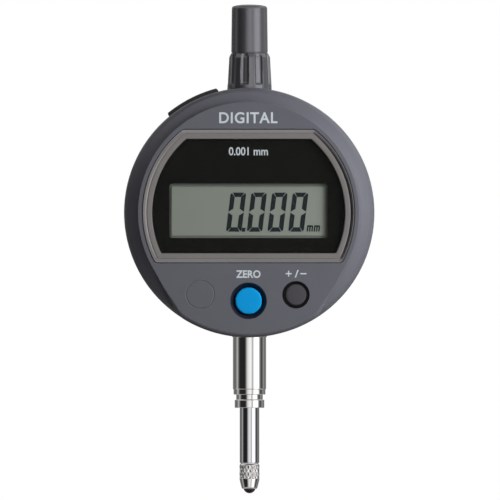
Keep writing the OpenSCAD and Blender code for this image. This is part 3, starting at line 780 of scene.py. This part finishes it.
shown(label("label_digital", "DIGITAL", -7.05, 6.95, 21.42, 24.12, FY, print_mat, 0.020, spacing=1.10), "case", [], None, normals=False)
shown(label("label_zero", "ZERO", -3.0, 2.9, -15.72, -13.85, FY, print_mat, 0.030), "case", [], None, normals=False)
verts, faces = [], []
cx, cz, w = 9.64, -14.68, 0.15
add(*prism([(cx - 0.71, cz - w), (cx - w, cz - w), (cx - w, cz - 0.71), (cx + w, cz - 0.71), (cx + w, cz - w), (cx + 0.71, cz - w),
            (cx + 0.71, cz + w), (cx + w, cz + w), (cx + w, cz + 0.71), (cx - w, cz + 0.71), (cx - w, cz + w), (cx - 0.71, cz + w)], FY - 0.010, FY + 0.006))
add(*prism([(11.08, -15.62), (11.40, -15.62), (12.06, -13.80), (11.74, -13.80)], FY - 0.010, FY + 0.006))
add(*prism([(12.48, cz - w), (13.92, cz - w), (13.92, cz + w), (12.48, cz + w)], FY - 0.010, FY + 0.006))
shown(painted(build("label_plus_minus", verts, faces, 30), print_mat), "case", [], None, normals=False)
shown(label("label_resolution", "0.001 mm", -4.75, 4.65, 13.72, 15.72, -13.18, print_mat, 0.014, depth=0.03), "case", [], None, normals=False)

# ---------------------------------------------------------------------- keys
key = lathe("key_blue", rnd([(0, -10.95), (1.5, -10.95), (1.5, -11.3), (4.0, -11.3, 0.08), (4.0, -11.9, 0.08), (3.175, -11.9), (3.175, -14.12)], 3)
            + [(3.175 - 0.30 * (1 - cos(radians(t))), -14.12 - 0.20 * sin(radians(t))) for t in (15, 30, 45, 60, 75)]
            + [(2.86, -14.33), (2.4, -14.342), (1.6, -14.348), (0.0, -14.35)], "y", KEY, 128, sharp=48)
shown(key, "origin_key", ["origin_button"], "button_blue", blue_mat)
skey = lathe("key_sign", rnd([(0, -10.95), (1.5, -10.95), (1.5, -11.3), (3.4, -11.3, 0.08), (3.4, -11.9, 0.08), (2.55, -11.9), (2.55, -13.95)], 3)
             + [(2.55 - 0.32 * (1 - cos(radians(t))), -13.95 - 0.20 * sin(radians(t))) for t in (15, 30, 45, 60, 75)]
             + [(2.22, -14.165), (1.8, -14.20), (1.1, -14.235), (0.0, -14.25)], "y", SIGN, 128, sharp=48)
shown(skey, "sign_key", ["sign_button"], "button_grey", grey_key_mat)

# --------------------------------------------------------------- spindle cap
FLUTES, FL_A = 9, 27.5


def cap_base(z):
    pts = [(29.6, 5.27), (29.68, 5.33), (29.8, 5.35), (37.2, 4.95), (37.45, 4.925), (37.6, 4.85), (38.32, 4.46), (38.40, 4.33), (38.44, 4.24), (38.54, 4.24), (38.60, 4.34), (38.66, 4.395), (39.0, 4.392), (48.8, 4.27), (49.2, 4.25), (49.42, 4.19), (49.56, 4.10), (49.67, 3.97), (49.75, 3.80), (49.81, 3.58)]
    if z <= pts[0][0]:
        return pts[0][1]
    for (za, ra), (zb, rb) in zip(pts, pts[1:]):
        if z <= zb:
            return ra + (rb - ra) * (z - za) / (zb - za)
    return pts[-1][1]


def cap_radius(a, z):
    """Skin of the cap: a tapered skirt with round flutes closed below, a shoulder and a tapered shank."""
    base = cap_base(z)
    off = (a - FL_A + 20) % 40 - 20
    s = 5.55 * sin(radians(off))
    tilt = tan(radians(2.9)) * (z - 31.9)
    ax = 5.55 - tilt
    s = ax * sin(radians(off))
    if abs(s) >= 1.10:
        return base
    depth = base - (ax * cos(radians(off)) - sqrt(max(1.12 ** 2 - s * s, 0.0)) )
    if depth <= 0 or z > 38.45:
        return base
    k = step01(30.75, 31.15, z) * (1 - step01(38.30, 38.42, z))
    depth = min(depth, 0.66)
    d = depth * k
    # round the edge where the flute meets the skin
    d = d - 0.07 * (1 - math.exp(-d / 0.07)) if d < 0.6 else d - 0.07
    if z > 37.2:
        d = min(d, max(base - 4.25, 0.0))
    return base - max(d, 0.0)


def cap_mesh():
    offs = [-20, -17.5, -15, -13.2, -12, -11.3, -10.8, -10.4, -10.0, -9.5, -8.8, -7.8, -6.5, -5, -3.4, -1.7, 0, 1.7, 3.4, 5, 6.5, 7.8, 8.8, 9.5, 10.0, 10.4, 10.8, 11.3, 12, 13.2, 15, 17.5]
    angs = [FL_A + 40 * k + o for k in range(FLUTES) for o in offs]
    zs = [29.6, 29.68, 29.8, 30.2, 30.6, 30.75, 30.82, 30.89, 30.96, 31.03, 31.1, 31.15, 31.6, 32.5, 33.5, 34.5, 35.5, 36.4, 37.0, 37.2, 37.45, 37.52, 37.6, 37.7, 37.8, 37.9, 38.0, 38.1, 38.2, 38.32, 38.36, 38.40, 38.44, 38.54, 38.60, 38.66, 39.0, 39.4, 41, 44, 47, 48.8, 49.2, 49.42, 49.56, 49.67, 49.75, 49.81]
    prof_in = [(2.0, 48.8), (3.15, 48.8), (3.15, 36.3), (3.85, 36.3), (3.85, 29.9), (3.98, 29.68), (4.08, 29.6)]
    verts, faces, rings = [], [], []
    for z in zs:
        rings.append([len(verts) + i for i in range(len(angs))])
        verts.extend((cap_radius(a, z) * sin(radians(a)), -cap_radius(a, z) * cos(radians(a)), z) for a in angs)
    # crown
    for r, z in ((3.0, 49.93), (2.3, 50.02), (1.5, 50.08), (0.7, 50.11)):
        rings.append([len(verts) + i for i in range(len(angs))])
        verts.extend((r * sin(radians(a)), -r * cos(radians(a)), z) for a in angs)
    inner = []
    for r, z in prof_in:
        inner.append([len(verts) + i for i in range(len(angs))])
        verts.extend((r * sin(radians(a)), -r * cos(radians(a)), z) for a in angs)
    order = rings[::-1] + inner[::-1]
    n = len(angs)
    for a, b in zip(order, order[1:]):
        for i in range(n):
            j = (i + 1) % n
            faces.append((a[i], b[i], b[j], a[j]))
    faces.append(tuple(order[0]))
    faces.append(tuple(reversed(order[-1])))
    return verts, faces


cap = build("stem_cap", *cap_mesh(), 46)
shown(cap, "cap", ["spindle_cap"], "cap_plastic", cap_mat)

# ---------------------------------------------------------- stem and spindle
stem = lathe("stem_body", rnd([(3.01, -45.05), (3.12, -45.05), (3.2, -44.95), (3.2, -43.8, 0.05), (3.755, -43.8), (3.835, -43.7), (3.835, -42.55, 0.05), (3.93, -42.5), (4.0, -42.40),
                               (4.0, -30.0), (4.2, -29.9), (4.2, -19.6), (3.01, -19.6)], 3, closed=False), "z", n=160, loop=True, sharp=30)
shown(stem, "case", ["stem"], "polished_steel", steel_mat)
collar = lathe("stem_ring", [(2.62, -47.0), (3.42, -47.0), (3.50, -46.98), (3.55, -46.92), (3.565, -46.84), (3.565, -45.24), (3.55, -45.16), (3.50, -45.10), (3.42, -45.08), (3.02, -45.08), (3.02, -46.5), (2.6, -46.5), (2.6, -46.98)], "z", n=160, loop=True, sharp=40)
shown(collar, "case", ["stem_collar"], "polished_steel", steel_mat)
spin = lathe("spindle_rod", [(1.12, -60.3), (2.2, -60.3), (2.28, -60.26), (2.33, -60.20), (2.35, -60.1), (2.35, 31.2), (1.7, 31.2), (1.7, 31.84), (2.35, 31.84), (2.35, 33.7), (2.25, 33.92), (2.05, 34.0), (0, 34.0), (0, -54.0), (1.12, -54.0)], "z", n=128, loop=True, sharp=40)
shown(spin, "spindle_unit", ["spindle"], "polished_steel", spindle_mat)


def knurl_mesh():
    """The contact point: a plain shank with its thread left out, a bevel, a diamond-knurled grip and a smooth cone
    that holds the ball.
    """
    n_st, sub = 16, 14
    n = n_st * sub
    pitch = 1.70 * 1.0
    verts, faces, rings = [], [], []

    def ring(z, rf):
        row = []
        for i in range(n):
            a = 2 * pi * i / n
            r = rf(a, z)
            row.append(len(verts))
            verts.append((r * cos(a), r * sin(a), z))
        rings.append(row)

    def knurled(a, z):
        u = a / (2 * pi) * n_st + z / pitch
        v = a / (2 * pi) * n_st - z / pitch
        du = max(0.0, 1 - abs((u % 1) - 0.5) / 0.36)
        dv = max(0.0, 1 - abs((v % 1) - 0.5) / 0.36)
        fade = step01(-64.12, -63.86, z) * (1 - step01(-61.12, -60.90, z))
        return 2.40 - 0.19 * max(du, dv) * fade

    ring(-55.0, lambda a, z: 0.9)
    ring(-55.2, lambda a, z: 1.1)
    ring(-60.32, lambda a, z: 1.1)
    ring(-60.33, lambda a, z: 2.14)
    ring(-60.50, lambda a, z: 2.17)
    ring(-60.56, lambda a, z: 2.22)
    ring(-60.78, lambda a, z: 2.36)
    z = -60.86
    while z > -64.14:
        ring(z, knurled)
        z -= 0.06
    for r, zz in ((2.395, -64.18), (2.37, -64.30), (2.29, -64.7), (2.17, -65.2), (2.04, -65.7), (1.93, -66.1), (1.86, -66.30), (1.78, -66.42), (1.66, -66.50), (1.50, -66.52)):
        ring(zz, lambda a, z, r=r: r)
    for a, b in zip(rings, rings[1:]):
        for i in range(n):
            j = (i + 1) % n
            faces.append((a[i], b[i], b[j], a[j]))
    faces.append(tuple(rings[0]))
    faces.append(tuple(reversed(rings[-1])))
    return verts, faces


tip = build("contact_grip", *knurl_mesh(), 60)
shown(tip, "spindle_unit", ["contact_point"], "polished_steel", knurl_mat, normals=False)
zb = -67.6 + 1.5
ball = lathe("contact_tip", [(0, -67.6)] + [(1.5 * sin(radians(t)), zb - 1.5 * cos(radians(t))) for t in range(5, 180, 5)] + [(0, zb + 1.5)], "z", n=72, sharp=60)
shown(ball, "spindle_unit", ["contact_ball"], "carbide", carbide_mat, normals=False)


# ---------------------------------------------------------- output socket cap
def strip_mesh():
    """Curved cover on the rim with bevelled edges and lowered ends, without the lifting groove near one end; the
    tongue for the socket is joined on after.
    """
    r0, y0, y1 = 30.03, -8.4, -2.2
    half = math.degrees(math.asin(6.7 / 30.5))
    cols = []
    angs = [-half, -half + 0.28, -half + 0.55] + [-half + 0.55 + (2 * half - 1.1) * i / 40 for i in range(1, 40)] + [half - 0.55, half - 0.28, half]
    verts, faces = [], []
    for k, a in enumerate(angs):
        d = half - abs(a)
        h = 0.87 * (0.45 + 0.55 * min(1.0, d / 0.55))
        c = min(0.28, h * 0.6)
        sec_ = [(0, y0), (h - c, y0), (h - c * 0.3, y0 + c * 0.3), (h, y0 + c), (h, y1 - c), (h - c * 0.3, y1 - c * 0.3), (h - c, y1), (0, y1)]
        col = []
        for dr, y in sec_:
            r = r0 + dr
            col.append(len(verts))
            verts.append((r * sin(radians(a)), y, r * cos(radians(a))))
        cols.append(col)
    m = len(cols[0])
    for a, b in zip(cols, cols[1:]):
        for i in range(m):
            j = (i + 1) % m
            faces.append((a[i], a[j], b[j], b[i]))
    faces.append(tuple(reversed(cols[0])))
    faces.append(tuple(cols[-1]))
    return verts, faces


strip = painted(build("output_cover", *strip_mesh(), 40), black_and_slot_shade_mat)
tongue = painted(build("t", *loft_data([[(x, y, z) for x, y in rrect(-5 + o, 5 - o, -6.6 + o, -4 - o, 0.3, 3)] for o, z in ((0.15, 27.6), (0.0, 27.75), (0.0, 30.35))])), black_and_slot_shade_mat)
boolean(strip, [tongue], "UNION")
at_port(strip)
tidy(strip, 34, 1e-7)
shown(strip, "socket_cover", ["socket_cap"], "black_plastic")
sock = painted(build("output_socket", *loft_data([[(x, y, z) for x, y in rrect(-6 + o, 6 - o, -7.48 + o, -3.1 - o, 0.5, 4)] for o, z in ((0.1, 23.5), (0.0, 23.6), (0.0, 29.1), (0.1, 29.2))])), black_and_slot_shade_mat)
boolean(sock, [painted(build("c", *loft_data([[(x, y, z) for x, y in rrect(-5.2 - o, 5.2 + o, -6.8 - o, -3.8 + o, 0.3, 3)] for o, z in ((0.0, 24.3), (0.0, 29.0), (0.2, 29.2), (0.2, 30.0))])), black_and_slot_shade_mat)])
at_port(sock)
tidy(sock, 34, 1e-7)
shown(sock, "case", ["data_socket"], "black_plastic")

# --------------------------------------------------------------- battery lid
lid = painted(lathe("cell_lid", rnd([(0, BY - 1.2), (7.38, BY - 1.2), (7.45, BY - 1.12), (7.45, BY - 0.05, 0.18), (6.7, BY - 0.05), (6.55, BY - 0.17), (6.35, BY - 0.17), (6.2, BY - 0.05), (0, BY - 0.05)], 4), "y", CELL, 120, sharp=34), cover_paint)
lugs = []
for a in (80, 200, 320):
    b = painted(build("l", *loft_data([[(CELL[0] + x, y, CELL[1] + z) for x, y in rrect(-1.4, 1.4, BY - 1.17, BY - 0.65, 0.06, 2)] for z in (6.5, 8.15)])), cover_paint)
    lugs.append(turned(b, a, CELL))
boolean(lid, lugs, "UNION")
slot_cut = painted(build("c", *loft_data([[(CELL[0] + x, y, CELL[1] + z) for x, z in rrect(-5 - o, 5 + o, -0.75 - o, 0.75 + o, 0.3, 4)] for o, y in ((0.0, BY - 0.65), (0.0, BY - 0.16), (0.12, BY - 0.05), (0.12, BY + 1))])), cover_paint)
boolean(lid, [turned(slot_cut, -35, CELL)])
tidy(lid, 34, 1e-7)
shown(lid, "lid", ["battery_lid"], "lid_plastic")


# ------------------------------------------------------------- return spring
def spring_mesh():
    turns, steps, sides, r, w, z0, z1 = 13, 40, 10, 2.8, 0.19, -3.95, 21.55
    n = turns * steps
    verts, faces = [], []
    for i in range(n + 1):
        t = i / n
        a = 2 * pi * turns * t
        rise = t * 0.6 if t < 0.08 else 1 - (1 - t) * 0.6 if t > 0.92 else 0.048 + (t - 0.08) * 0.904 / 0.84
        zc = z0 + w + (z1 - z0 - 2 * w) * rise
        for j in range(sides):
            b = 2 * pi * j / sides
            verts.append(((r + w * cos(b)) * cos(a), (r + w * cos(b)) * sin(a), zc + w * sin(b)))
    for i in range(n):
        for j in range(sides):
            k = (j + 1) % sides
            faces.append((i * sides + j, (i + 1) * sides + j, (i + 1) * sides + k, i * sides + k))
    faces.append(tuple(range(sides - 1, -1, -1)))
    faces.append(tuple(n * sides + j for j in range(sides)))
    return verts, faces


spring = build("spring_coil", *spring_mesh(), 60)
shown(spring, "case", ["return_spring"], "spring_steel", spring_mat, normals=False)
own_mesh(spring)

# --------------------------------------- the CAD nodes that keep their shape
CARRIED = {
    "case_gasket": rubber_mat, "lcd_holder": black_and_slot_shade_mat, "contact_strips": pink_mat, "main_board": board_mat, "board_parts": part_mat,
    "board_screws": screw_mat, "key_switches": part_mat, "chassis": alloy_mat, "chassis_screws": screw_mat, "stem_bush": bronze_mat,
    "wiper_seal": rubber_mat, "cap_nipple": steel_mat, "upper_bush": bronze_mat, "set_screws": screw_mat, "sensor_board": board_mat,
    "sensor_bracket": alloy_mat, "sensor_screws": screw_mat, "sensor_ribbon": ribbon_mat, "guide_plate": alloy_mat, "guide_screws": screw_mat,
    "stop_buffer": rubber_mat, "battery_cell": cell_mat, "battery_contacts": gold_mat, "socket_pins": gold_mat, "scale_holder": alloy_mat,
    "scale_plate": scale_mat, "guide_pin": spindle_mat, "holder_screw": screw_mat, "spindle_clip": spring_mat, "lid_seal": rubber_mat,
}
for node, m in CARRIED.items():
    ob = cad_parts[node]
    ob.data.materials.clear()
    ob.data.materials.append(m)


# --------------------------------------------------------------------- stage
def floor_mesh():
    verts, faces, rings, n = [], [], [], 96
    zf = (cad_lo.z / MM - 25) - ZC / MM
    for r, z in ((1600, zf - 8), (1600, zf), (400, zf), (60, zf)):
        rings.append([len(verts) + i for i in range(n)])
        verts.extend((r * cos(2 * pi * i / n), r * sin(2 * pi * i / n), z) for i in range(n))
    for a, b in zip(rings, rings[1:]):
        for i in range(n):
            faces.append((a[i], b[i], b[(i + 1) % n], a[(i + 1) % n]))
    faces.append(tuple(rings[-1]))
    faces.append(tuple(reversed(rings[0])))
    return verts, faces


floor = build("floor", *floor_mesh(), 30)
fm = Nodes("floor_white")
fm.wire(fm.mix(fm.remap(fm.noise(3, 2.0), 0, 1), (0.88, 0.88, 0.88, 1), (0.92, 0.92, 0.92, 1)), fm.p.inputs["Base Color"])
fm.p.inputs["Roughness"].default_value = 0.8
fm.p.inputs["Emission Color"].default_value = (1, 1, 1, 1)
fm.p.inputs["Emission Strength"].default_value = 0.9
painted(floor, fm.m)
floor.visible_diffuse = False
floor.visible_glossy = False

# --------------------------------------------------------------------- light
world = bpy.data.worlds.new("studio")
scene.world = world
world.use_nodes = True
wt = world.node_tree
wt.nodes.clear()


def wnode(kind, **props):
    n = wt.nodes.new(kind)
    for k, v in props.items():
        setattr(n, k, v)
    return n


def wmath(op, a, b=None, clamp=False):
    n = wnode("ShaderNodeMath", operation=op, use_clamp=clamp)
    for sock, v in zip(n.inputs, (a, b)):
        if v is None:
            continue
        if isinstance(v, (int, float)):
            sock.default_value = v
        else:
            wt.links.new(v, sock)
    return n.outputs[0]


def wramp(src, stops, interp="LINEAR"):
    n = wnode("ShaderNodeValToRGB")
    cr = n.color_ramp
    cr.interpolation = interp
    while len(cr.elements) > 1:
        cr.elements.remove(cr.elements[-1])
    first = True
    for pos, v in stops:
        e = cr.elements[0] if first else cr.elements.new(pos)
        e.position = pos
        c = (v, v, v) if isinstance(v, (int, float)) else v
        e.color = (*c, 1)
        first = False
    wt.links.new(src, n.inputs[0])
    return n.outputs[0]


# Softboxes and flags round the object, by azimuth (0 towards the display, + to its right), as seen level.
AZ = [(-180, 0.12), (-164, 0.14), (-156, 0.30), (-140, 0.16), (-112, 0.14), (-99, 0.35), (-93, 0.55), (-87, 0.32), (-78, 0.09), (-70, 0.022), (-33, 0.018), (-26, 0.08), (-18, 0.50), (-10, 0.82),
      (-2, 0.92), (4, 1.04), (13, 1.05), (18, 0.62), (23, 0.42), (28, 0.8), (36, 1.5), (64, 1.5), (76, 0.40), (86, 0.08), (97, 0.07), (108, 0.20), (120, 0.34), (134, 0.10), (154, 0.30), (166, 0.14), (180, 0.12)]
FILL_FRONT, FILL_ALL = 0.13, 0.04
tc = wnode("ShaderNodeTexCoord")
sep = wnode("ShaderNodeSeparateXYZ")
wt.links.new(tc.outputs["Generated"], sep.inputs[0])
neg = wmath("MULTIPLY", sep.outputs["Y"], -1.0)
az = wmath("ADD", wmath("DIVIDE", wmath("ARCTAN2", sep.outputs["X"], neg), 2 * pi), 0.5)
level = wramp(az, [((a + 180) / 360, v / 1.5) for a, v in AZ])
up = wmath("DIVIDE", wmath("ARCSINE", sep.outputs["Z"]), pi)          # -0.5 .. 0.5
elev = wmath("ADD", up, 0.5)
high = wramp(elev, [(0.0, 1.0), (0.26, 1.0), (0.34, 0.0), (0.56, 0.0), (0.66, 1.0), (1.0, 1.0)], "EASE")
above = wramp(elev, [(0.0, 0.15), (0.20, 0.20), (0.27, 0.45), (0.33, 0.45), (0.42, 0.25), (0.49, 0.25), (0.60, 0.30), (0.68, 0.55), (0.76, 0.42), (0.84, 0.12), (1.0, 0.08)])
mixw = wnode("ShaderNodeMix", data_type="RGBA")
wt.links.new(high, mixw.inputs["Factor"])
wt.links.new(level, mixw.inputs[6])
wt.links.new(above, mixw.inputs[7])
bg = wnode("ShaderNodeBackground")
bg.inputs["Strength"].default_value = 1.5
wt.links.new(mixw.outputs[2], bg.inputs["Color"])
# A softer, dimmer surround for what lights the matt surfaces: brightest in front, dim above, below and behind.
front = wmath("MAXIMUM", neg, 0.0)
fill = wmath("ADD", wmath("MULTIPLY", wmath("POWER", front, 2.0), FILL_FRONT), FILL_ALL)
soft = wnode("ShaderNodeBackground")
soft.inputs["Color"].default_value = (1, 1, 1, 1)
wt.links.new(fill, soft.inputs["Strength"])
white = wnode("ShaderNodeBackground")
white.inputs["Color"].default_value = (1, 1, 1, 1)
white.inputs["Strength"].default_value = 1.0
lp = wnode("ShaderNodeLightPath")
md_ = wnode("ShaderNodeMixShader")
wt.links.new(lp.outputs["Is Diffuse Ray"], md_.inputs[0])
wt.links.new(bg.outputs[0], md_.inputs[1])
wt.links.new(soft.outputs[0], md_.inputs[2])
ms = wnode("ShaderNodeMixShader")
wt.links.new(lp.outputs["Is Camera Ray"], ms.inputs[0])
wt.links.new(md_.outputs[0], ms.inputs[1])
wt.links.new(white.outputs[0], ms.inputs[2])
wo = wnode("ShaderNodeOutputWorld")
wt.links.new(ms.outputs[0], wo.inputs["Surface"])


def area(name, loc, target, size, power, glossy=True):
    li = bpy.data.lights.new(name, "AREA")
    li.shape = "RECTANGLE"
    li.size, li.size_y = size
    li.energy = power
    ob = link(bpy.data.objects.new(name, li))
    ob.location = loc
    ob.rotation_mode = "QUATERNION"
    ob.rotation_quaternion = (Vector(target) - Vector(loc)).to_track_quat("-Z", "Y")
    ob.visible_glossy = glossy
    ob.visible_camera = False
    return ob


mid = (0, 0, ZC)
def around(azimuth, elevation, distance):
    a, e = radians(azimuth), radians(elevation)
    return (distance * sin(a) * cos(e), -distance * cos(a) * cos(e), ZC + distance * sin(e))


area("key_light", around(60, 14, 0.28), mid, (0.12, 0.20), 1.12, glossy=False).data.color = (0.96, 1.0, 1.0)
area("front_light", around(22, 12, 0.50), mid, (0.10, 0.16), 0.42, glossy=False)
area("back_light_right", around(170, 12, 0.36), mid, (0.16, 0.20), 1.15, glossy=False)
area("back_light_left", around(-134, 6, 0.42), mid, (0.16, 0.20), 0.85, glossy=False)

# -------------------------------------------------------------------- camera
cam = bpy.data.cameras.new("camera")
cam.sensor_width = 36
cam.lens = 1494.6
cam.clip_start, cam.clip_end = 0.1, 40
co = link(bpy.data.objects.new("camera", cam))
aim = Vector((0.00012, 0, 0.02725))
yaw = radians(0.95)
co.location = aim + Vector((sin(yaw), -cos(yaw), 0)) * 5.0
co.rotation_mode = "QUATERNION"
co.rotation_quaternion = (aim - co.location).to_track_quat("-Z", "Y")
scene.camera = co
scene.view_settings.view_transform = "Standard"
